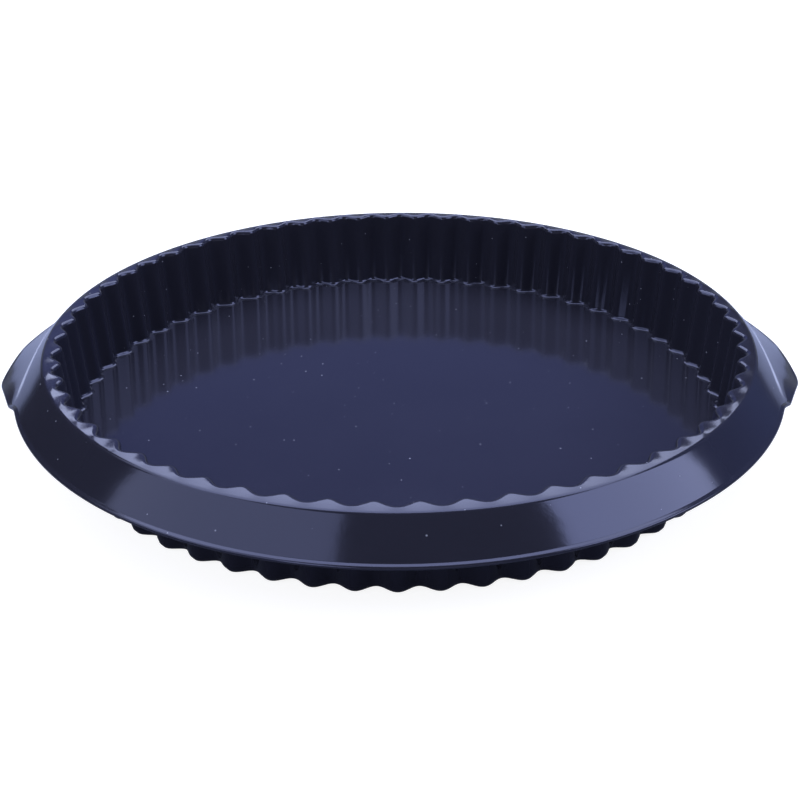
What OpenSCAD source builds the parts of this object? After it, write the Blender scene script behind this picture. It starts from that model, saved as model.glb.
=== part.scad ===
// Low round flan mould, moulded in one piece from soft silicone.
// A fluted wall stands round a flat floor. Its rim turns out into a narrow land, and a skirt
// slopes down from the land. The skirt widens into two grip ears, on +X and -X.
// The origin is the centre of the underside, and the mould stands on z = 0.

/* [Cake space] */
// Inside diameter at the rim, measured half way into the flutes
inner_d = 283; // [200:1:340]
// Depth from the top of the rim to the floor
depth = 36; // [24:0.5:60]
// Radius that the wall loses on its way down to the floor
taper_w = 2.3; // [0:0.1:6]
// Inside rounding between the wall and the floor
floor_round = 3; // [1:0.1:6]

/* [Thickness] */
// Thickness of the wall, the land and the skirt
wall = 1.5; // [1:0.1:3]
// Thickness of the floor
floor_t = 1.5; // [1:0.1:4]

/* [Flutes] */
// Number of flutes round the wall
flute_count = 60; // [36:2:72]
// Depth of the flutes, from the ridges to the grooves
flute_depth = 3.4; // [0.5:0.1:5]

/* [Rim] */
// Rounding under the rim, between the outside of the wall and the land
rim_round = 0.3; // [0.2:0.1:5]
// Narrowest width of the land, on its underside
land_w = 1.65; // [0.3:0.05:10]
// Height that the land loses on its way out to the skirt
land_drop = 0.5; // [0:0.1:2]
// Rounding of the land's outer edge
crease_round = 1.5; // [0.2:0.1:2]

/* [Skirt] */
// Height from the top of the rim to the skirt's lower edge
skirt_drop = 14.2; // [9:0.1:22]
// Slope of the skirt below the horizontal, in degrees
skirt_angle = 46.5; // [32:0.5:60]
// Width of the lip, which turns out along the skirt's lower edge
lip_w = 1.1; // [0.5:0.1:2]
// Slope of the lip below the horizontal, in degrees
lip_angle = 20; // [5:1:28]

/* [Grip ears] */
// Distance that an ear stands out past the skirt's edge
ear_reach = 7; // [2:0.1:20]
// Width of an ear's straight front
ear_front_w = 37.4; // [10:0.2:60]
// How steeply an ear's sides turn back, as a fraction of their length
ear_side = 0.43; // [0.3:0.01:0.8]
// Rounding where an ear's front meets its sides
ear_corner = 3; // [1:0.5:6]
// Angle round the mould from an ear's middle to its end, in degrees
ear_half_angle = 20; // [16:0.5:30]
// Angle over which an ear's end runs out into the skirt, in degrees
ear_blend_angle = 4.5; // [2:0.5:10]
// Slope of an ear outside its fold, in degrees below the horizontal
ear_slope = 39.5; // [25:0.5:45]
// Distance from the land's outer edge to the fold, in an ear's middle
ear_fold_w = 4.2; // [1:0.1:8]
// Angle round the mould from an ear's middle to the end of its fold, in degrees
ear_fold_angle = 16; // [10:0.5:24]

/* [Hidden] */

silicone = [0.16, 0.17, 0.33];

// Columns of points in one flute, and the share of them that the smooth skirt uses
flute_columns = 6;
skirt_share = 3;
columns = flute_count * flute_columns;
skirt_columns = columns / skirt_share;

height = depth + floor_t;
inner_r = inner_d / 2;
wave = flute_depth / 2;

// Angle between the rings of a quarter rounding
round_step = 45;

// The inside and outside roundings share a centre, so the wall keeps its thickness through them
rim_inside_round = rim_round + wall;
foot_round = floor_round + min(wall, floor_t);

// The land and the skirt meet at crease_r on top, and at crease_under_r on the underside
crease_z = height - land_drop;
half_angle = skirt_angle / 2;
crease_under_r = inner_r + wave + rim_inside_round + land_w;
crease_r = crease_under_r + wall * tan(half_angle);
crease_start = crease_r - crease_round * tan(half_angle);

// Directions across the skirt and across its lip
across = [sin(skirt_angle), cos(skirt_angle)];
lip_across = [sin(lip_angle), cos(lip_angle)];

// The lip's edge is round, and its lowest point lies skirt_drop below the rim
lip_run = lip_w * [cos(lip_angle), -sin(lip_angle)];
skirt_end_z = height - skirt_drop + (1 + lip_across[1]) * wall / 2 - lip_run[1];
skirt_end_r = crease_r + (crease_z - skirt_end_z) / tan(skirt_angle);
skirt_outer_r = skirt_end_r + lip_run[0] + (1 - lip_across[0]) * wall / 2;

// An ear's front is straight, and its sides are straight lines that turn back
ear_x = skirt_outer_r + ear_reach;
ear_side_x = ear_x + ear_side * ear_front_w / 2;

// Least distance between an ear's fold and its lip
fold_gap = wall / 5;

// The wall's inside radius half way into the flutes, at a height
function wall_r(z) = inner_r - taper_w * (height - z) / depth;

// The flutes as a wave round the wall: grooves stand out at its crests
function flute(a) = wave * cos(flute_count * a);

// The same wave moved sideways by d, out for a positive d and in for a negative one.
// Past the bend of a ridge or a groove, the moved line closes into a sharp cusp.
offset_samples = 12;
function moved_flute(a, d) =
    let (reach = abs(d), side = d < 0 ? -1 : 1)
    reach < 0.001 ? flute(a) :
    side * max([for (s = [-offset_samples : offset_samples])
        let (run = reach * s / offset_samples, b = a + run / inner_r * 180 / PI)
        side * flute(b) + sqrt(reach * reach - run * run)]);

// One ring of points along the fluted wall, moved sideways by d, at height z
function fluted_ring(d, z) =
    let (one = [for (j = [0 : flute_columns - 1]) moved_flute(j * 360 / columns, d)])
    [for (i = [0 : columns - 1])
        let (a = i * 360 / columns, r = wall_r(z) + one[i % flute_columns])
        [r * cos(a), r * sin(a), z]];

// Angle from the middle of the nearer ear
function ear_angle(a) = abs((a + 90) % 180 - 90);

function ease(t) = let (s = min(max(t, 0), 1)) s * s * (3 - 2 * s);
function soft_min(p, q, k) = min(p, q) - pow(max(k - abs(p - q), 0), 2) / (4 * k);

// Distance that the outline stands out past the skirt's edge at an angle from an ear's middle
function ear_out(e) =
    let (front = ear_x / cos(e), flank = ear_side_x / (cos(e) + ear_side * sin(e)))
    e >= ear_half_angle ? 0 :
    max(soft_min(front, flank, ear_corner) - skirt_outer_r, 0)
        * ease((ear_half_angle - e) / ear_blend_angle);

function skirt_z(r) = crease_z - (r - crease_r) * tan(skirt_angle);

// The skirt's upper side at an angle: the foot of the land's edge, the fold, and the lip's inner and
// outer edge. The fold curves from the middle of the skirt down to the lip.
edge_foot = [crease_start + crease_round * across[0], crease_z - crease_round * (1 - across[1])];
fold_start = crease_r + ear_fold_w;
function skirt_rows(a) =
    let (e = ear_angle(a),
         lip_r = skirt_end_r + ear_out(e),
         fold_line = fold_start + (skirt_end_r - fold_start) * pow(e / ear_fold_angle, 2),
         fold_r = min(fold_line, lip_r - fold_gap),
         lip_z = skirt_z(fold_r) - (lip_r - fold_r) * tan(min(ear_slope, skirt_angle)))
    [edge_foot,
     [fold_r, skirt_z(fold_r)],
     [lip_r, lip_z],
     [lip_r, lip_z] + lip_run];

// From the lip's inner edge to the same corner on the underside
lip_half_angle = (skirt_angle - lip_angle) / 2;
lip_under = -wall / cos(lip_half_angle) * [sin(lip_angle + lip_half_angle), cos(lip_angle + lip_half_angle)];

function ring_of(profile_points) =
    [for (i = [0 : skirt_columns - 1])
        let (a = i * 360 / skirt_columns, p = profile_points[i])
        [p[0] * cos(a), p[0] * sin(a), p[1]]];

skirt_profiles = [for (i = [0 : skirt_columns - 1]) skirt_rows(i * 360 / skirt_columns)];
function skirt_ring(row, shift) = ring_of([for (p = skirt_profiles) p[row] + shift]);
function plain_ring(r, z) = ring_of([for (i = [0 : skirt_columns - 1]) [r, z]]);

// Rings from the floor's edge up the inside and out to the land
inside_rings = [
    for (f = [90 : -round_step : 0])
        fluted_ring(-floor_round * (1 - cos(f)), floor_t + floor_round * (1 - sin(f))),
    for (f = [0 : round_step : 90])
        fluted_ring(rim_inside_round * (1 - cos(f)), height - rim_inside_round * (1 - sin(f)))];

// Rings over the skirt, round its lip and back below it
skirt_rings = [
    plain_ring(crease_start, crease_z),
    plain_ring(crease_start + crease_round * sin(half_angle), crease_z - crease_round * (1 - cos(half_angle))),
    for (row = [0 : 3]) skirt_ring(row, [0, 0]),
    skirt_ring(3, ([1, 0] - lip_across) * wall / 2),
    skirt_ring(3, ([0, -1] - lip_across) * wall / 2),
    skirt_ring(3, -lip_across * wall),
    skirt_ring(2, lip_under),
    skirt_ring(1, -across * wall),
    plain_ring(crease_under_r, crease_z - wall)];

// Rings down the outside of the wall to the underside
outside_rings = [
    fluted_ring(rim_inside_round, height - wall),
    fluted_ring(wall, height - rim_inside_round),
    for (f = [0 : round_step : 90])
        fluted_ring(wall - foot_round * (1 - cos(f)), foot_round * (1 - sin(f)))];

// Triangles between two rings with the same number of points
function band(s, t, n) = [
    for (i = [0 : n - 1])
        let (k = (i + 1) % n)
        each [[s + i, s + k, t + k], [s + i, t + k, t + i]]];

// Triangles between a fine ring and a coarse one, which has one point for each skirt_share of them
function fan_band(s, t, flip) =
    let (half = ceil(skirt_share / 2))
    [for (j = [0 : skirt_columns - 1])
        let (near = t + j, far = t + (j + 1) % skirt_columns)
        each [for (i = [0 : skirt_share])
            let (f = s + j * skirt_share + min(i, skirt_share - 1),
                 g = s + (j * skirt_share + min(i, skirt_share - 1) + 1) % columns,
                 tri = i == skirt_share ? [s + j * skirt_share + half, near, far]
                     : i < half ? [f, near, g] : [f, far, g])
            flip ? tri : [tri[0], tri[2], tri[1]]]];

module mould() {
    inside_n = len(inside_rings);
    skirt_n = len(skirt_rings);
    outside_n = len(outside_rings);
    skirt_s = inside_n * columns;
    outside_s = skirt_s + skirt_n * skirt_columns;
    last_s = outside_s + (outside_n - 1) * columns;
    color(silicone)
        polyhedron(
            points = [for (ring = concat(inside_rings, skirt_rings, outside_rings)) each ring],
            faces = [
                [for (i = [columns - 1 : -1 : 0]) i],
                for (k = [0 : inside_n - 2]) each band(k * columns, (k + 1) * columns, columns),
                each fan_band(skirt_s - columns, skirt_s, false),
                for (k = [0 : skirt_n - 2])
                    each band(skirt_s + k * skirt_columns, skirt_s + (k + 1) * skirt_columns, skirt_columns),
                each fan_band(outside_s, outside_s - skirt_columns, true),
                for (k = [0 : outside_n - 2])
                    each band(outside_s + k * columns, outside_s + (k + 1) * columns, columns),
                [for (i = [0 : columns - 1]) last_s + i]],
            convexity = 6);
}

mould();
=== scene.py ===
"""Round fluted flan mould, moulded in one piece from glossy navy silicone, and the studio round it."""

import math

import bpy
from mathutils import Matrix, Vector


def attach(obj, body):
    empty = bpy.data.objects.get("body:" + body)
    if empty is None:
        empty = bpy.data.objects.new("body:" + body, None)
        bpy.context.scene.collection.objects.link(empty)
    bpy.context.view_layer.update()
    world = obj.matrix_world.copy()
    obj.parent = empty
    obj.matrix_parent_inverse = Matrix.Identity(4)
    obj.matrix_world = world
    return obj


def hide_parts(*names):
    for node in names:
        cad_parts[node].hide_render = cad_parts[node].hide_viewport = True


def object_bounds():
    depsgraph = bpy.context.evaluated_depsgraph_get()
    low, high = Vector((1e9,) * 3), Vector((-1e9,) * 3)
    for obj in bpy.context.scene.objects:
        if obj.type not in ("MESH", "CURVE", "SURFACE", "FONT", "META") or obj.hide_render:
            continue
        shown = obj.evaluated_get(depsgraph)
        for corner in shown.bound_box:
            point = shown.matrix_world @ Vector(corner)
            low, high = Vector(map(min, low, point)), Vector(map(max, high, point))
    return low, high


bl_info = {
    "name": "Fluted flan mould",
    "version": (1, 0, 0),
    "blender": (4, 5, 0),
    "location": "3D View > Sidebar > Flan mould",
    "description": "Makes a fluted silicone flan mould with grip ears, and a plain studio for it",
    "category": "Object",
}

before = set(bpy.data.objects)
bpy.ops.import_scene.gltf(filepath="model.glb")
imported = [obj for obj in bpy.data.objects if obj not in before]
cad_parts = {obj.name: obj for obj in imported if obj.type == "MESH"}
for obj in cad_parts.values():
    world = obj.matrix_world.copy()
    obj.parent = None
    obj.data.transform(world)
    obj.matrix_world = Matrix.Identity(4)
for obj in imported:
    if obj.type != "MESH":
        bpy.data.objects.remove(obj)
CAD_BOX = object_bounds()
HIGH = tuple(CAD_BOX[1])


def length(name, text, default):
    """A size in metres that the panel shows."""
    return bpy.props.FloatProperty(name=name, description=text, default=default, unit="LENGTH", precision=5)


def turn(name, text, degrees):
    """An angle that the panel shows in degrees."""
    return bpy.props.FloatProperty(name=name, description=text, default=math.radians(degrees),
                                   unit="ROTATION")


def number(name, text, default):
    """A plain number that the panel shows."""
    return bpy.props.FloatProperty(name=name, description=text, default=default, precision=3)


def count(name, text, default):
    """A whole number that the panel shows."""
    return bpy.props.IntProperty(name=name, description=text, default=default)


def colour(name, text, default):
    """A colour that the panel shows."""
    return bpy.props.FloatVectorProperty(name=name, description=text, default=default, subtype="COLOR",
                                         size=3, min=0, max=1)


class MouldSizes(bpy.types.PropertyGroup):
    """Sizes of the mould"""

    height: length("Height", "From the underside to the top of the rim", HIGH[2])
    outer_r: length("Skirt radius", "From the middle to the skirt's lip, away from the ears", HIGH[1])
    ear_x: length("Ear front", "From the middle to the front of an ear", HIGH[0])
    inner_r: length("Inside radius", "At the rim, half way into the flutes", 0.1415)
    taper: length("Taper", "Radius that the wall loses down to the floor", 0.0023)
    thickness: length("Thickness", "Thickness of the silicone", 0.0015)
    floor_round: length("Floor rounding", "Between the wall and the floor", 0.0018)
    foot_round: length("Foot rounding", "Between the outside of the wall and the underside", 0.0045)
    rim_round: length("Rim rounding", "Between the inside of the wall and the land", 0.0018)
    land: length("Land", "Narrowest width of the land on its underside", 0.00165)
    land_drop: length("Land drop", "Height that the land loses on its way out to the skirt", 0.0005)
    crease_round: length("Crease rounding", "Between the land and the skirt", 0.0028)
    skirt_slope: turn("Skirt slope", "Slope of the skirt below the horizontal", 46.5)
    lip: length("Lip", "Width of the lip along the skirt's lower edge", 0.0011)
    lip_slope: turn("Lip slope", "Slope of the lip below the horizontal", 20)
    lip_bend: length("Lip bend", "Rounding between the skirt and the lip", 0.0003)
    flutes: count("Flutes", "Number of flutes round the wall", 60)
    flute_depth: length("Flute depth", "From the ridges to the grooves", 0.0034)
    flute_columns: count("Columns", "Columns of points in each flute", 24)


class EarSizes(bpy.types.PropertyGroup):
    """Sizes of the two grip ears"""

    front: length("Front", "Width of an ear's straight front", 0.0386)
    flank: number("Flank", "How steeply an ear's sides turn back", 0.43)
    corner: length("Corner", "Rounding where the front meets the sides", 0.0022)
    half: turn("Half angle", "Round the mould from an ear's middle to its end", 20)
    blend: turn("Run-out", "Angle over which an ear's end runs into the skirt", 4.5)
    slope: turn("Slope", "Slope from the fold to the ear's lip, below the horizontal", 39.5)
    fold_half: turn("Fold angle", "Round the mould from an ear's middle to the end of its fold", 16)
    fold_width: length("Fold distance", "From the land's outer edge to the fold, in the ear's middle", 0.0042)
    fold_round: length("Fold rounding", "Length over which the fold is rounded", 0.0002)
    fold_gap: length("Fold gap", "Least distance between the fold and the lip's inner edge", 0.001)
    strip_dip: length("Strip dip", "How far the strip outside the fold drops below the surface", 0.00018)
    strip_width: length("Strip width", "Width of the steep strip outside the fold", 0.0012)
    # Half width of the painted highlight: a pale band in the colour along the fold, standing in for the light
    # that the fold's ridge catches
    line_width: length("Line", "Half width of the pale line along the fold", 0.0016)
    hollow: number("Hollow", "Dip of an ear's surface below a straight line, as a share of its width", 0.036)


class SiliconeLook(bpy.types.PropertyGroup):
    """Colour and gloss of the silicone"""

    navy: colour("Navy", "Colour of the silicone", (0.0155, 0.0155, 0.0235))
    dark_patch: number("Dark patches", "Tone of the darkest patches, as a share of the navy", 0.82)
    mirror_tint: colour("Reflection tint", "Tint of what the surface mirrors", (0.62, 0.66, 1.0))
    refraction: number("Refraction", "Index of refraction of the silicone", 1.45)
    gloss: number("Roughness", "Roughness of the moulded skin, on average", 0.11)
    patch_rough: number("Patch roughness", "How far the roughness changes over the patches", 0.05)
    patch: length("Patch size", "Size of the soft patches in the moulded skin", 0.045)
    grain: length("Grain size", "Size of the fine grain in the moulded skin", 0.0022)
    grain_share: number("Grain share", "Share of the relief that the fine grain makes", 0.25)
    relief: number("Relief", "Strength of the moulded skin's relief", 0.12)
    relief_depth: length("Relief depth", "Depth of the moulded skin's relief at full strength", 0.0004)
    # Painted highlight: a pale colour mixed into the navy along each ear's fold, in place of the light that a
    # rounded ridge there catches, and how far it hides the navy
    painted_fold_highlight: colour("Fold line", "Paler silicone along an ear's fold", (0.34, 0.35, 0.40))
    highlight_cover: number("Fold line cover", "How far the pale line hides the navy", 0.9)
    dust: colour("Dust", "Colour of the dust that clings to the silicone", (0.30, 0.31, 0.36))
    dust_amount: number("Dust amount", "Share of places where a speck lies", 0.50)
    dust_cover: number("Dust cover", "How far a speck hides the silicone under it", 0.6)
    dust_rough: number("Dust roughness", "How much rougher a speck is than the silicone", 0.4)
    speck_size: length("Speck size", "Radius of the largest specks", 0.00032)
    speck_gap: length("Speck spacing", "Size of the places where one speck may lie", 0.0040)


class StudioSet(bpy.types.PropertyGroup):
    """Camera and light"""

    azimuth: turn("Camera azimuth", "Turn of the camera round the mould", 0.42)
    elevation: turn("Camera elevation", "Angle of the camera above the rim", 23.936)
    distance: length("Camera distance", "From the middle of the rim to the camera", 0.52021)
    roll: turn("Camera roll", "Turn of the camera about its own line of sight", -0.39)
    aim_x: length("Aim across", "Sideways place of the point that the camera looks at", 0.00021)
    aim_drop: length("Aim drop", "How far below the rim the camera looks", 0.0361)
    lens: number("Lens", "Focal length in millimetres on a 36 mm sensor", 54.903)
    top_light: number("Overhead light", "Radiance of the overhead softbox", 5.3)
    right_light: number("Right light", "Radiance of the right softbox", 6.5)
    left_light: number("Left light", "Radiance of the left softbox", 2.7)
    low_light: number("Low light", "Radiance of the low softbox beside the camera", 5.2)
    front_light: number("Front light", "Radiance of the wide softbox below the camera", 1.6)
    lamp_tint: colour("Lamp tint", "Colour of the softboxes", (0.72, 0.78, 1.0))
    front_tint: colour("Front tint", "Colour of the wide softbox below the camera", (1, 1, 1))
    backdrop: colour("Backdrop", "Pale backdrop behind the mould, low down", (0.26, 0.29, 0.36))
    glow: colour("Glow", "Blue light above the backdrop, behind the mould", (0.152, 0.19, 0.52))
    side_glow: colour("Side glow", "Blue light above the backdrop, to the right", (0.10, 0.14, 0.36))
    room: colour("Room", "Dim light from the rest of the studio", (0.024, 0.024, 0.030))
    floor_near: colour("Near floor", "Floor beside the mould, in what the mould mirrors", (0.20, 0.21, 0.26))
    floor_back: colour("Back floor", "Floor behind the mould, in what the mould mirrors", (0.27, 0.29, 0.37))


# Outline of the mould

# Steps that each rounding and surface is drawn in, from one end to the other
FLOOR_STEPS, RIM_STEPS, UNDER_RIM_STEPS, FOOT_STEPS, CREASE_STEPS = 6, 12, 3, 4, 6
FOLD_STEPS, STRIP_STEPS, EAR_STEPS, LIP_BEND_STEPS, LIP_TIP_STEPS = 2, 4, 8, 2, 7

# Flat run with a row of points of its own, beside the roundings of the floor and of the underside
FLAT_RUN = 0.001
# Most of a line that the rounding at one of its ends may take
CORNER_SHARE = 0.48
# Most of an ear's width that the strip outside its fold may take
STRIP_SHARE = 0.4
# Where the lip's flat top has its last row of points
LIP_ROW = 0.85
# Least length that anything is divided by
TINY = 1e-9


def spread(first, last, steps):
    """Values at even steps from the first to the last."""
    return [first + (last - first) * step / steps for step in range(steps + 1)]


def curve(start, corner, end, steps):
    """Points of a curve that leaves its start towards the corner, and comes to its end from the corner."""
    return [start.lerp(corner, share).lerp(corner.lerp(end, share), share) for share in spread(0, 1, steps)]


def eased(value):
    """A step from 0 to 1 with soft ends."""
    value = min(max(value, 0.0), 1.0)
    return value * value * (3 - 2 * value)


def soft_min(first, second, blend):
    """The smaller of two lengths, rounded where they are alike."""
    return min(first, second) - max(blend - abs(first - second), 0.0) ** 2 / (4 * blend)


def ear_angle(angle):
    """Angle from the middle of the nearer ear."""
    return abs((angle + math.pi / 2) % math.pi - math.pi / 2)


def ear_reach(sizes, ear, angle):
    """How far the outline stands out past the skirt's edge."""
    if angle >= ear.half:
        return 0.0
    side = sizes.ear_x + ear.flank * ear.front / 2
    outline = soft_min(sizes.ear_x / math.cos(angle), side / (math.cos(angle) + ear.flank * math.sin(angle)),
                       ear.corner)
    return max(outline - sizes.outer_r, 0.0) * eased((ear.half - angle) / ear.blend)


def rounded_corner(before, corner, after, reach, steps):
    """Points of a small curve that replaces the corner between two lines."""
    def cut(far):
        return corner + (far - corner) * min(reach / max((far - corner).length, TINY), CORNER_SHARE)
    return curve(cut(before), corner, cut(after), steps)


def land_tilt(sizes, plain_r):
    """Slope of the land, on average round the flutes."""
    return math.atan(sizes.land_drop / (plain_r - sizes.inner_r - sizes.rim_round))


def crease_points(sizes):
    """The corner between the land and the skirt, and the ends of its rounding."""
    slope = sizes.skirt_slope
    plain_r = (sizes.inner_r + sizes.flute_depth / 2 + sizes.rim_round + sizes.land
               + sizes.thickness * math.tan(slope / 2))
    tilt = land_tilt(sizes, plain_r)
    corner = Vector((plain_r, sizes.height - sizes.land_drop))
    reach = sizes.crease_round * math.tan((slope - tilt) / 2)
    start = corner - Vector((math.cos(tilt), -math.sin(tilt))) * reach
    foot = corner + Vector((math.cos(slope), -math.sin(slope))) * reach
    return start, corner, foot


def skirt_end(sizes):
    """Radius of the lip's inner edge, away from the ears."""
    return (sizes.outer_r - (1 - math.sin(sizes.lip_slope)) * sizes.thickness / 2
            - sizes.lip * math.cos(sizes.lip_slope))


def skirt_path(sizes, ear, angle, corner):
    """Points of the surface from the fold to the lip's inner edge, at an angle from an ear's middle."""
    end_r = skirt_end(sizes)
    lip_r = end_r + ear_reach(sizes, ear, angle)
    share = min(angle / ear.fold_half, 1.0)
    start_r = corner.x + ear.fold_width
    fold_r = min(start_r + (end_r - start_r) * share ** 2, lip_r - ear.fold_gap)
    fold = corner + Vector((1, -math.tan(sizes.skirt_slope))) * (fold_r - corner.x)
    slope = ear.slope + (sizes.skirt_slope - ear.slope) * share ** 4
    end = fold + Vector((1, -math.tan(slope))) * (lip_r - fold_r)
    up = Vector((math.sin(slope), math.cos(slope))) * (1 - share ** 4)
    width = (end - fold).length
    strip_end = fold.lerp(end, min(ear.strip_width / width, STRIP_SHARE)) - up * ear.strip_dip
    surface = [strip_end.lerp(end, run) - up * width * ear.hollow * 4 * run * (1 - run)
               for run in spread(0, 1, EAR_STEPS)]
    return [fold] + surface


def skirt_rows(sizes, ear, angle, corner, foot):
    """Points over the skirt, round its lip and back below it, at an angle from an ear's middle."""
    path = skirt_path(sizes, ear, angle, corner)
    fold, strip_end, end = path[0], path[1], path[-1]
    slope, tilt, half = sizes.skirt_slope, sizes.lip_slope, sizes.thickness / 2
    edge = end + Vector((math.cos(tilt), -math.sin(tilt))) * sizes.lip
    top = [foot.lerp(fold, 0.5)]
    top += rounded_corner(foot, fold, strip_end, ear.fold_round, FOLD_STEPS)
    top += rounded_corner(fold, strip_end, path[2], ear.strip_width / 2, STRIP_STEPS)
    top += path[2:-1]
    top += rounded_corner(path[-2], end, edge, sizes.lip_bend, LIP_BEND_STEPS)
    centre = edge - Vector((math.sin(tilt), math.cos(tilt))) * half
    lip = [end.lerp(edge, LIP_ROW)]
    lip += [centre + Vector((math.cos(a), math.sin(a))) * half
            for a in spread(math.pi / 2 - tilt, -math.pi / 2 - tilt, LIP_TIP_STEPS)]
    bend = (slope + tilt) / 2
    inner = end - Vector((math.sin(bend), math.cos(bend))) * sizes.thickness / math.cos((slope - tilt) / 2)
    across = Vector((math.sin(slope), math.cos(slope))) * sizes.thickness
    return top + lip + [inner, fold - across]


def wall_rows(sizes, tilt):
    """Rows of the fluted wall, as distance moved sideways from the flutes and height, inside and outside."""
    floor, rim, foot, thick = sizes.floor_round, sizes.rim_round, sizes.foot_round, sizes.thickness
    quarter = math.pi / 2
    inside = [(-floor - FLAT_RUN, thick)]
    inside += [(-floor * (1 - math.cos(a)), thick + floor * (1 - math.sin(a)))
               for a in spread(quarter, 0, FLOOR_STEPS)]
    inside += [(rim * (1 - math.cos(a)), sizes.height - rim * (1 - math.sin(a)))
               for a in spread(0, quarter + tilt, RIM_STEPS)]
    under_rim = rim - thick
    outside = [(thick + under_rim * (1 - math.cos(a)), sizes.height - rim + under_rim * math.sin(a))
               for a in spread(quarter, 0, UNDER_RIM_STEPS)]
    outside += [(thick - foot * (1 - math.cos(a)), foot * (1 - math.sin(a)))
                for a in spread(0, quarter, FOOT_STEPS)]
    outside.append((thick - foot - FLAT_RUN, 0.0))
    return inside, outside


def plain_shell(sizes, ear):
    """The turned shell before its flutes: a closed mesh whose points know how the flutes will move them."""
    columns = sizes.flutes * sizes.flute_columns
    start, corner, foot = crease_points(sizes)
    crease = curve(start, corner, foot, CREASE_STEPS)
    under_land = corner - Vector((math.tan(sizes.skirt_slope / 2), 1)) * sizes.thickness

    def on_wall(pairs):
        return [(sizes.inner_r - sizes.taper * (sizes.height - z) / sizes.height, z, shift, 1.0)
                for shift, z in pairs]

    inside, outside = (on_wall(pairs) for pairs in wall_rows(sizes, land_tilt(sizes, corner.x)))
    angles = spread(0, 2 * math.pi, columns)[:-1]
    by_column = []
    for angle in angles:
        skirt = crease + skirt_rows(sizes, ear, ear_angle(angle), corner, foot) + [under_land]
        by_column.append(inside + [(point.x, point.y, 0.0, 0.0) for point in skirt] + outside)
    rows = len(by_column[0])
    points, moved, fluted = [], [], []
    for row in zip(*by_column):
        for angle, (radius, z, shift, wave) in zip(angles, row):
            points.append((radius * math.cos(angle), radius * math.sin(angle), z))
            moved.append(shift)
            fluted.append(wave)
    last = (rows - 1) * columns
    faces = [tuple(range(columns))]
    for low in range(0, last, columns):
        for column in range(columns):
            after = (column + 1) % columns
            faces.append((low + column, low + columns + column, low + columns + after, low + after))
    faces.append(tuple(last + column for column in reversed(range(columns))))
    mesh = bpy.data.meshes.new("mould_shell")
    mesh.from_pydata(points, [], faces)
    for name, values in (("angle", angles * rows), ("moved", moved), ("fluted", fluted)):
        mesh.attributes.new(name, "FLOAT", "POINT").data.foreach_set("value", values)
    return mesh


# Flutes, as Geometry Nodes

# Places on each side of a point where its distance from the wave is measured
FLUTE_SAMPLES = 24
# Lower than any wave of the flutes
BELOW_ALL = -1.0


class Tree:
    """Adds nodes to a node tree and links them."""

    def __init__(self, tree):
        self.tree = tree

    def add(self, kind, inputs=None, **settings):
        node = self.tree.nodes.new(kind)
        for name, value in settings.items():
            setattr(node, name, value)
        for key, value in (inputs or {}).items():
            self.put(node.inputs[key], value)
        return node

    def put(self, socket, value):
        if isinstance(value, bpy.types.NodeSocket):
            self.tree.links.new(value, socket)
        else:
            socket.default_value = value

    def math(self, operation, *values):
        return self.add("ShaderNodeMath", dict(enumerate(values)), operation=operation).outputs[0]


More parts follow.
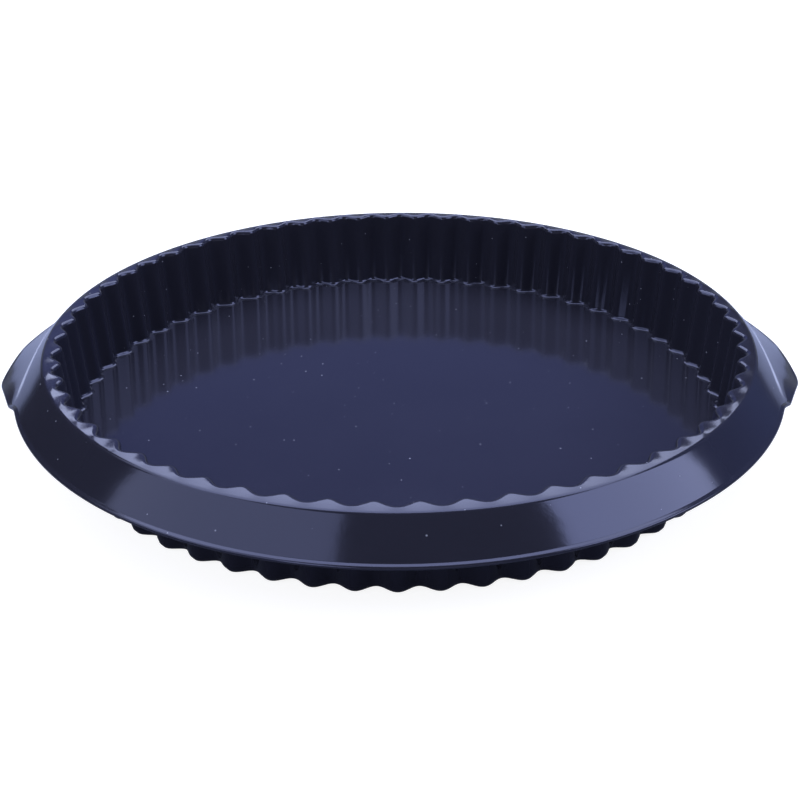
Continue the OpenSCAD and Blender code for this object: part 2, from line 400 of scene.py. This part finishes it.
def flute_tree():
    """Moves the rows of a turned wall onto its flutes, and keeps the wall's thickness across them."""
    tree = bpy.data.node_groups.new("Flutes round a wall", "GeometryNodeTree")
    sockets = (("Shell", "INPUT", "NodeSocketGeometry"), ("Flute count", "INPUT", "NodeSocketInt"),
               ("Flute depth", "INPUT", "NodeSocketFloat"), ("Wall radius", "INPUT", "NodeSocketFloat"),
               ("Samples", "INPUT", "NodeSocketInt"), ("Finish", "INPUT", "NodeSocketMaterial"),
               ("Fluted shell", "OUTPUT", "NodeSocketGeometry"))
    for name, way, kind in sockets:
        tree.interface.new_socket(name=name, in_out=way, socket_type=kind)
    build = Tree(tree)
    given = build.add("NodeGroupInput").outputs

    def attribute(name):
        return build.add("GeometryNodeInputNamedAttribute", {"Name": name},
                         data_type="FLOAT").outputs["Attribute"]

    angle, moved = attribute("angle"), attribute("moved")
    distance = build.math("ABSOLUTE", moved)
    side = build.math("ADD", build.math("MULTIPLY", build.math("LESS_THAN", moved, 0.0), -2.0), 1.0)
    start = build.add("GeometryNodeStoreNamedAttribute",
                      {"Geometry": given["Shell"], "Name": "reach", "Value": BELOW_ALL}, data_type="FLOAT")
    enter = build.add("GeometryNodeRepeatInput")
    leave = build.add("GeometryNodeRepeatOutput")
    enter.pair_with_output(leave)
    repeats = build.math("ADD", build.math("MULTIPLY", given["Samples"], 2.0), 1.0)
    build.put(enter.inputs["Iterations"], repeats)
    build.put(enter.inputs["Geometry"], start.outputs["Geometry"])
    share = build.math("SUBTRACT", build.math("DIVIDE", enter.outputs["Iteration"], given["Samples"]), 1.0)
    run = build.math("MULTIPLY", distance, share)
    beside = build.math("ADD", angle, build.math("DIVIDE", run, given["Wall radius"]))
    wave = build.math("MULTIPLY", build.math("COSINE", build.math("MULTIPLY", beside, given["Flute count"])),
                      build.math("DIVIDE", given["Flute depth"], 2.0))
    square = build.math("SUBTRACT", build.math("MULTIPLY", distance, distance),
                        build.math("MULTIPLY", run, run))
    height = build.math("SQRT", build.math("MAXIMUM", square, 0.0))
    out = build.math("ADD", build.math("MULTIPLY", side, wave), height)
    best = build.math("MAXIMUM", out, attribute("reach"))
    store = build.add("GeometryNodeStoreNamedAttribute",
                      {"Geometry": enter.outputs["Geometry"], "Name": "reach", "Value": best},
                      data_type="FLOAT")
    build.put(leave.inputs["Geometry"], store.outputs["Geometry"])
    shift = build.math("MULTIPLY", build.math("MULTIPLY", side, attribute("reach")), attribute("fluted"))
    offset = build.add("ShaderNodeCombineXYZ",
                       {"X": build.math("MULTIPLY", build.math("COSINE", angle), shift),
                        "Y": build.math("MULTIPLY", build.math("SINE", angle), shift)})
    placed = build.add("GeometryNodeSetPosition",
                       {"Geometry": leave.outputs["Geometry"], "Offset": offset.outputs["Vector"]})
    real = build.add("GeometryNodeRealizeInstances", {"Geometry": placed.outputs["Geometry"]})
    finish = build.add("GeometryNodeSetMaterial",
                       {"Geometry": real.outputs["Geometry"], "Material": given["Finish"]})
    build.add("NodeGroupOutput", {"Fluted shell": finish.outputs["Geometry"]})
    return tree


def made_plain(piece, tree, values):
    """Runs a Geometry Nodes tree on a piece, with its inputs by name, and keeps the result as a mesh."""
    modifier = piece.modifiers.new(tree.name, "NODES")
    modifier.node_group = tree
    for item in tree.interface.items_tree:
        if item.in_out == "INPUT" and item.name in values:
            modifier[item.identifier] = values[item.name]
    evaluated = piece.evaluated_get(bpy.context.evaluated_depsgraph_get())
    mesh = bpy.data.meshes.new_from_object(evaluated)
    piece.modifiers.remove(modifier)
    piece.data = mesh
    return mesh


# Materials

# How sharply a speck's edge fades, and how strong the speck still is at its radius
SPECK_EDGE, SPECK_AT_RADIUS = 2.0, 0.5
# Least radius of a speck, as a share of its place
LEAST_SPECK = 0.0001
# Octaves of noise in the moulded skin
SKIN_DETAIL = 3.0
# Share of the painted fold highlight's half width over which it fades
HIGHLIGHT_FADE = 0.8
# Shares of the fold's angle where the painted highlight has ended and where it is full
HIGHLIGHT_ENDS = (1.05, 0.85)


def opaque(tone):
    """A colour with the fourth channel that a node's socket wants."""
    return (*tone, 1)


def emptied(owner):
    """The empty node tree of a material or a world."""
    owner.use_nodes = True
    owner.node_tree.nodes.clear()
    return Tree(owner.node_tree)


def shader_group(name, inputs, outputs):
    """An empty shader node group with named sockets."""
    tree = bpy.data.node_groups.new(name, "ShaderNodeTree")
    for socket, kind, value in inputs:
        made = tree.interface.new_socket(name=socket, in_out="INPUT", socket_type=kind)
        if value is not None:
            made.default_value = value
    for socket, kind in outputs:
        tree.interface.new_socket(name=socket, in_out="OUTPUT", socket_type=kind)
    return tree, Tree(tree)


def speck_group():
    """Specks of dust: a mask with one small dot in some of the cells of a fine grid."""
    tree, build = shader_group(
        "Dust specks",
        (("Place", "NodeSocketVector", None), ("Cell", "NodeSocketFloat", 0.006),
         ("Radius", "NodeSocketFloat", 0.0003), ("Amount", "NodeSocketFloat", 0.1)),
        (("Mask", "NodeSocketFloat"),))
    given = build.add("NodeGroupInput").outputs
    scale = build.math("DIVIDE", 1.0, given["Cell"])
    cells = build.add("ShaderNodeTexVoronoi", {"Vector": given["Place"], "Scale": scale}, feature="F1")
    channels = build.add("ShaderNodeSeparateColor", {"Color": cells.outputs["Color"]}).outputs
    chosen = build.math("LESS_THAN", channels["Red"], given["Amount"])
    size = build.math("MULTIPLY", build.math("MULTIPLY", given["Radius"], scale), channels["Green"])
    radius = build.math("ADD", size, LEAST_SPECK)
    dot = build.math("SUBTRACT", 1.0, build.math("DIVIDE", cells.outputs["Distance"], radius))
    soft = build.add("ShaderNodeMath", {0: build.math("MULTIPLY", dot, SPECK_EDGE), 1: SPECK_AT_RADIUS},
                     operation="ADD", use_clamp=True)
    build.add("NodeGroupOutput", {"Mask": build.math("MULTIPLY", soft.outputs[0], chosen)})
    return tree


def mottle_group():
    """Soft unevenness of a moulded or painted surface, at two sizes."""
    tree, build = shader_group(
        "Soft mottle",
        (("Place", "NodeSocketVector", None), ("Patch", "NodeSocketFloat", 0.03),
         ("Grain", "NodeSocketFloat", 0.002)),
        (("Patches", "NodeSocketFloat"), ("Grains", "NodeSocketFloat")))
    given = build.add("NodeGroupInput").outputs
    values = []
    for size in ("Patch", "Grain"):
        noise = build.add("ShaderNodeTexNoise",
                          {"Vector": given["Place"], "Scale": build.math("DIVIDE", 1.0, given[size]),
                           "Detail": SKIN_DETAIL})
        values.append(noise.outputs["Fac"])
    build.add("NodeGroupOutput", {"Patches": values[0], "Grains": values[1]})
    return tree


def between(build, factor, first, second):
    """A colour mixed from two others."""
    mix = build.add("ShaderNodeMix", data_type="RGBA")
    for name, value in (("Factor_Float", factor), ("A_Color", first), ("B_Color", second)):
        build.put(next(socket for socket in mix.inputs if socket.identifier == name), value)
    return next(socket for socket in mix.outputs if socket.identifier == "Result_Color")


def eased_range(build, value, start, end):
    """A mask that rises softly from 0 at the start to 1 at the end."""
    return build.add("ShaderNodeMapRange", {"Value": value, "From Min": start, "From Max": end},
                     interpolation_type="SMOOTHSTEP").outputs[0]


def fold_highlight_group():
    """The curved line of each ear's fold round the middle of the mould, as a soft mask for the painted
    highlight along it.
    """
    tree, build = shader_group(
        "Fold line",
        (("Place", "NodeSocketVector", None), ("Start radius", "NodeSocketFloat", 0.151),
         ("End radius", "NodeSocketFloat", 0.158), ("Half angle", "NodeSocketFloat", 0.28),
         ("Width", "NodeSocketFloat", 0.001)),
        (("Mask", "NodeSocketFloat"),))
    given = build.add("NodeGroupInput").outputs
    parts = build.add("ShaderNodeSeparateXYZ", {0: given["Place"]}).outputs
    across, along = build.math("ABSOLUTE", parts["X"]), build.math("ABSOLUTE", parts["Y"])
    share = build.math("DIVIDE", build.math("ARCTAN2", along, across), given["Half angle"])
    radius = build.math("SQRT", build.math("ADD", build.math("MULTIPLY", across, across),
                                           build.math("MULTIPLY", along, along)))
    growth = build.math("SUBTRACT", given["End radius"], given["Start radius"])
    out = build.math("MULTIPLY", growth, build.math("POWER", share, 2.0))
    line = build.math("ADD", given["Start radius"], out)
    away = build.math("SUBTRACT", radius, line)
    inside = build.math("SUBTRACT", 1.0, build.math("DIVIDE", build.math("ABSOLUTE", away), given["Width"]))
    near = eased_range(build, inside, 0.0, HIGHLIGHT_FADE)
    ends = build.add("ShaderNodeMapRange",
                     {"Value": share, "From Min": HIGHLIGHT_ENDS[0], "From Max": HIGHLIGHT_ENDS[1]}).outputs[0]
    build.add("NodeGroupOutput", {"Mask": build.math("MULTIPLY", near, ends)})
    return tree


def silicone_material(look, sizes, ear):
    """Glossy navy silicone with a fine moulded skin, clinging dust and a painted highlight along each ear's
    fold.
    """
    material = bpy.data.materials.new("navy_silicone")
    build = emptied(material)
    place = build.add("ShaderNodeTexCoord").outputs["Object"]
    specks = build.add("ShaderNodeGroup",
                       {"Place": place, "Cell": look.speck_gap, "Radius": look.speck_size,
                        "Amount": look.dust_amount}, node_tree=speck_group()).outputs["Mask"]
    mottle = build.add("ShaderNodeGroup", {"Place": place, "Patch": look.patch, "Grain": look.grain},
                       node_tree=mottle_group()).outputs
    fold_start = crease_points(sizes)[1].x + ear.fold_width
    # Mask of the painted highlight along each ear's fold
    line = build.add("ShaderNodeGroup",
                     {"Place": place, "Start radius": fold_start, "End radius": skirt_end(sizes),
                      "Half angle": ear.fold_half, "Width": ear.line_width},
                     node_tree=fold_highlight_group()).outputs["Mask"]
    patches, grains = mottle["Patches"], mottle["Grains"]
    dark = opaque(value * look.dark_patch for value in look.navy)
    base = between(build, patches, dark, opaque(look.navy))
    # Painted highlight: the pale colour is mixed into the navy along each fold
    base = between(build, build.math("MULTIPLY", line, look.highlight_cover), base, opaque(look.painted_fold_highlight))
    dusty = between(build, build.math("MULTIPLY", specks, look.dust_cover), base, opaque(look.dust))
    rough = build.math("ADD", build.math("MULTIPLY", patches, look.patch_rough),
                       look.gloss - look.patch_rough / 2)
    rough = build.math("ADD", rough, build.math("MULTIPLY", specks, look.dust_rough))
    uneven = build.math("ADD", build.math("MULTIPLY", grains, look.grain_share),
                        build.math("MULTIPLY", patches, 1 - look.grain_share))
    bump = build.add("ShaderNodeBump",
                     {"Strength": look.relief, "Distance": look.relief_depth, "Height": uneven})
    skin = build.add("ShaderNodeBsdfPrincipled",
                     {"Base Color": dusty, "Roughness": rough, "IOR": look.refraction,
                      "Specular Tint": opaque(look.mirror_tint), "Normal": bump.outputs["Normal"]})
    build.add("ShaderNodeOutputMaterial", {"Surface": skin.outputs["BSDF"]})
    return material


# A glow's azimuth and elevation, and how far from its middle it begins to fade and has gone, in degrees
GLOW_BEHIND = (-9, 27, 8, 33)
GLOW_BESIDE = (63, 22, 12, 38)
# The backdrop, by a direction's height and by how far back it points: where it begins and where it is full
BACKDROP_HEIGHT = (0.26, 0.17)
BACKDROP_AHEAD = (0.70, 0.84)
# Distance behind the mould's middle over which the floor changes its tone
FLOOR_CHANGE = (0.04, 0.16)
# To the camera the floor is white: matt paper that takes the shadow, and light of its own
PAPER_SEEN, PAPER_LIGHT = 0.3, 0.88
WHITE = (1, 1, 1, 1)


def room_group():
    """Studio light by direction: a backdrop low down, a glow above it and one beside, dim elsewhere."""
    tree, build = shader_group(
        "Studio light by direction",
        (("Direction", "NodeSocketVector", None), ("Backdrop", "NodeSocketColor", None),
         ("Glow", "NodeSocketColor", None), ("Side glow", "NodeSocketColor", None),
         ("Room", "NodeSocketColor", None)),
        (("Light", "NodeSocketColor"),))
    given = build.add("NodeGroupInput").outputs

    def glow_towards(azimuth, elevation, inner, outer):
        azimuth, elevation = math.radians(azimuth), math.radians(elevation)
        towards = (math.sin(azimuth) * math.cos(elevation), math.cos(azimuth) * math.cos(elevation),
                   math.sin(elevation))
        near = build.add("ShaderNodeVectorMath", {0: given["Direction"], 1: towards}, operation="DOT_PRODUCT")
        return eased_range(build, near.outputs["Value"], math.cos(math.radians(outer)),
                           math.cos(math.radians(inner)))

    parts = build.add("ShaderNodeSeparateXYZ", {0: given["Direction"]}).outputs
    low = eased_range(build, parts["Z"], *BACKDROP_HEIGHT)
    ahead = eased_range(build, parts["Y"], *BACKDROP_AHEAD)
    low = build.math("MULTIPLY", low, ahead)
    light = between(build, glow_towards(*GLOW_BESIDE), given["Room"], given["Side glow"])
    light = between(build, glow_towards(*GLOW_BEHIND), light, given["Glow"])
    build.add("NodeGroupOutput", {"Light": between(build, low, light, given["Backdrop"])})
    return tree


def floor_material(studio):
    """Matt studio paper: white to the camera, with the mould's shadow on it, and grey to everything else."""
    material = bpy.data.materials.new("studio_paper")
    build = emptied(material)
    place = build.add("ShaderNodeSeparateXYZ", {0: build.add("ShaderNodeTexCoord").outputs["Object"]}).outputs
    back = eased_range(build, place["Y"], *FLOOR_CHANGE)
    tone = between(build, back, opaque(studio.floor_near), opaque(studio.floor_back))
    paper = build.add("ShaderNodeBsdfDiffuse", {"Color": tone})
    seen = build.add("ShaderNodeBsdfDiffuse", {"Color": opaque([PAPER_SEEN] * 3)})
    lit = build.add("ShaderNodeEmission", {"Color": WHITE, "Strength": PAPER_LIGHT})
    bright = build.add("ShaderNodeAddShader", {0: seen.outputs[0], 1: lit.outputs[0]})
    camera = build.add("ShaderNodeLightPath").outputs["Is Camera Ray"]
    mix = build.add("ShaderNodeMixShader", {0: camera, 1: paper.outputs[0], 2: bright.outputs[0]})
    build.add("ShaderNodeOutputMaterial", {"Surface": mix.outputs[0]})
    return material


# Operators

class MakeShell(bpy.types.Operator):
    """Make the mould's one moulded shell: floor, fluted wall, land, skirt and ears"""

    bl_idname = "flan_mould.make_shell"
    bl_label = "Mould shell"
    bl_options = {"REGISTER", "UNDO"}

    def execute(self, context):
        sizes, ear = context.scene.mould_sizes, context.scene.ear_sizes
        material = silicone_material(context.scene.silicone_look, sizes, ear)
        shell = bpy.data.objects.new("mould_shell", plain_shell(sizes, ear))
        context.scene.collection.objects.link(shell)
        mesh = made_plain(shell, flute_tree(), {
            "Flute count": sizes.flutes, "Flute depth": sizes.flute_depth, "Wall radius": sizes.inner_r,
            "Samples": FLUTE_SAMPLES, "Finish": material})
        for name in ("angle", "moved", "fluted", "reach"):
            mesh.attributes.remove(mesh.attributes[name])
        mesh.shade_smooth()
        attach(shell, "root")
        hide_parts("mould")
        return {"FINISHED"}


# Camera: sensor width in millimetres, and the nearest and farthest distance that it sees
SENSOR_WIDTH = 36
NEAREST, FARTHEST = 0.01, 50
# Half the width of the floor
FLOOR_HALF = 6

UP = Vector((0, 0, 1))
OVERHEAD_Z = 1.3
# Overhead softboxes: name, light, tint, place to the right and to the back, width and depth
OVERHEAD_LAMPS = (
    ("overhead_softbox", "top_light", "lamp_tint", 0, 0.74, 1.9, 1.72),
    ("overhead_left_wing", "top_light", "lamp_tint", -1.10, 1.90, 0.32, 0.60),
    ("overhead_right_wing", "top_light", "lamp_tint", 1.10, 1.74, 0.32, 0.30),
    ("overhead_side", "left_light", "lamp_tint", -1.2, 0.22, 0.5, 0.75),
)
# Standing softboxes: name, light, tint, azimuth in degrees from the back round to the right, distance,
# height of the lower and the upper edge, and width
STANDING_LAMPS = (
    ("right_softbox", "right_light", "lamp_tint", 105.5, 2.25, 1.0, 3.0, 1.82),
    ("left_softbox", "left_light", "lamp_tint", -125.5, 2.25, 0.9, 4.1, 2.98),
    ("low_softbox", "low_light", "lamp_tint", -159, 2.25, 0.40, 1.14, 0.72),
    ("front_softbox", "front_light", "front_tint", 180, 2.6, 0.02, 0.5, 2.6),
)


def softbox(name, tint, middle, away, width, height, radiance):
    """A rectangular lamp at a place, which shines against the direction away."""
    lamp = bpy.data.lights.new(name, "AREA")
    lamp.shape = "RECTANGLE"
    lamp.size, lamp.size_y = width, height
    lamp.energy = radiance * math.pi * width * height
    lamp.color = tint
    made = bpy.data.objects.new(name, lamp)
    spin = away.to_track_quat("Z", "Y").to_matrix().to_4x4()
    made.matrix_world = Matrix.Translation(middle) @ spin
    made.visible_camera = False
    bpy.context.scene.collection.objects.link(made)


def standing_softbox(name, tint, azimuth, distance, low, high, width, radiance):
    """An upright lamp some way off, at an angle from the back of the studio round to the right."""
    turned = math.radians(azimuth)
    away = Vector((math.sin(turned), math.cos(turned), 0))
    softbox(name, tint, away * distance + Vector((0, 0, (low + high) / 2)), away, width, high - low, radiance)


class SetStudio(bpy.types.Operator):
    """Set up the camera, the pale floor, the softboxes and the dim room round the mould"""

    bl_idname = "flan_mould.set_studio"
    bl_label = "Studio"
    bl_options = {"REGISTER", "UNDO"}

    def execute(self, context):
        studio, sizes = context.scene.studio_set, context.scene.mould_sizes
        self.place_camera(context, studio, sizes)
        self.lay_floor(context, studio)
        for name, light, tint, right, back, width, depth in OVERHEAD_LAMPS:
            softbox(name, getattr(studio, tint), Vector((right, back, OVERHEAD_Z)), UP, width, depth,
                    getattr(studio, light))
        for name, light, tint, *place in STANDING_LAMPS:
            standing_softbox(name, getattr(studio, tint), *place, getattr(studio, light))
        self.light_room(context, studio)
        return {"FINISHED"}

    def place_camera(self, context, studio, sizes):
        turned = Matrix.Rotation(studio.azimuth, 3, "Z")
        rim = Vector((0, 0, sizes.height - sizes.land_drop))
        eye = turned @ Vector((0, -math.cos(studio.elevation), math.sin(studio.elevation))) * studio.distance
        aim = turned @ Vector((studio.aim_x, 0, -studio.aim_drop))
        ahead = (aim - eye).normalized()
        right = ahead.cross(UP).normalized()
        up = right.cross(ahead)
        cos, sin = math.cos(studio.roll), math.sin(studio.roll)
        axes = Matrix((right * cos + up * sin, up * cos - right * sin, -ahead)).transposed()
        lens = bpy.data.cameras.new("camera")
        lens.sensor_width, lens.lens = SENSOR_WIDTH, studio.lens
        lens.clip_start, lens.clip_end = NEAREST, FARTHEST
        camera = bpy.data.objects.new("camera", lens)
        camera.matrix_world = Matrix.Translation(rim + eye) @ axes.to_4x4()
        context.scene.collection.objects.link(camera)
        context.scene.camera = camera

    def lay_floor(self, context, studio):
        half = FLOOR_HALF
        corners = [(-half, -half, 0), (half, -half, 0), (half, half, 0), (-half, half, 0)]
        mesh = bpy.data.meshes.new("studio_floor")
        mesh.from_pydata(corners, [], [(0, 1, 2, 3)])
        mesh.materials.append(floor_material(studio))
        floor = bpy.data.objects.new("studio_floor", mesh)
        context.scene.collection.objects.link(floor)

    def light_room(self, context, studio):
        world = bpy.data.worlds.new("studio_room")
        build = emptied(world)
        path = build.add("ShaderNodeLightPath").outputs
        towards = build.add("ShaderNodeTexCoord").outputs["Generated"]
        light = build.add("ShaderNodeGroup",
                          {"Direction": towards, "Backdrop": opaque(studio.backdrop),
                           "Glow": opaque(studio.glow), "Side glow": opaque(studio.side_glow),
                           "Room": opaque(studio.room)}, node_tree=room_group())
        room = build.add("ShaderNodeBackground", {"Color": light.outputs["Light"]})
        white = build.add("ShaderNodeBackground", {"Color": WHITE})
        mix = build.add("ShaderNodeMixShader",
                        {0: path["Is Camera Ray"], 1: room.outputs[0], 2: white.outputs[0]})
        build.add("ShaderNodeOutputWorld", {"Surface": mix.outputs[0]})
        context.scene.world = world
        context.scene.view_settings.view_transform = "Standard"


class FlanMouldPanel(bpy.types.Panel):
    """Lists the mould's pieces, sizes and colours"""

    bl_idname = "VIEW3D_PT_flan_mould"
    bl_label = "Flan mould"
    bl_space_type = "VIEW_3D"
    bl_region_type = "UI"
    bl_category = "Flan mould"

    def draw(self, context):
        for kind in OPERATORS:
            self.layout.operator(kind.bl_idname, text=kind.bl_label)
        for name in GROUPS:
            group = getattr(context.scene, name)
            box = self.layout.box()
            box.label(text=group.bl_rna.description)
            for key in GROUPS[name].__annotations__:
                box.prop(group, key)


GROUPS = {"mould_sizes": MouldSizes, "ear_sizes": EarSizes, "silicone_look": SiliconeLook,
          "studio_set": StudioSet}
OPERATORS = (MakeShell, SetStudio)


def register():
    for kind in (*GROUPS.values(), *OPERATORS, FlanMouldPanel):
        bpy.utils.register_class(kind)
    for name, kind in GROUPS.items():
        setattr(bpy.types.Scene, name, bpy.props.PointerProperty(type=kind))


def unregister():
    for name in GROUPS:
        delattr(bpy.types.Scene, name)
    for kind in reversed((*GROUPS.values(), *OPERATORS, FlanMouldPanel)):
        bpy.utils.unregister_class(kind)


def main():
    """Registers the add-on and makes every piece in order."""
    register()
    bpy.ops.flan_mould.make_shell()
    bpy.ops.flan_mould.set_studio()


if __name__ == "__main__":
    main()
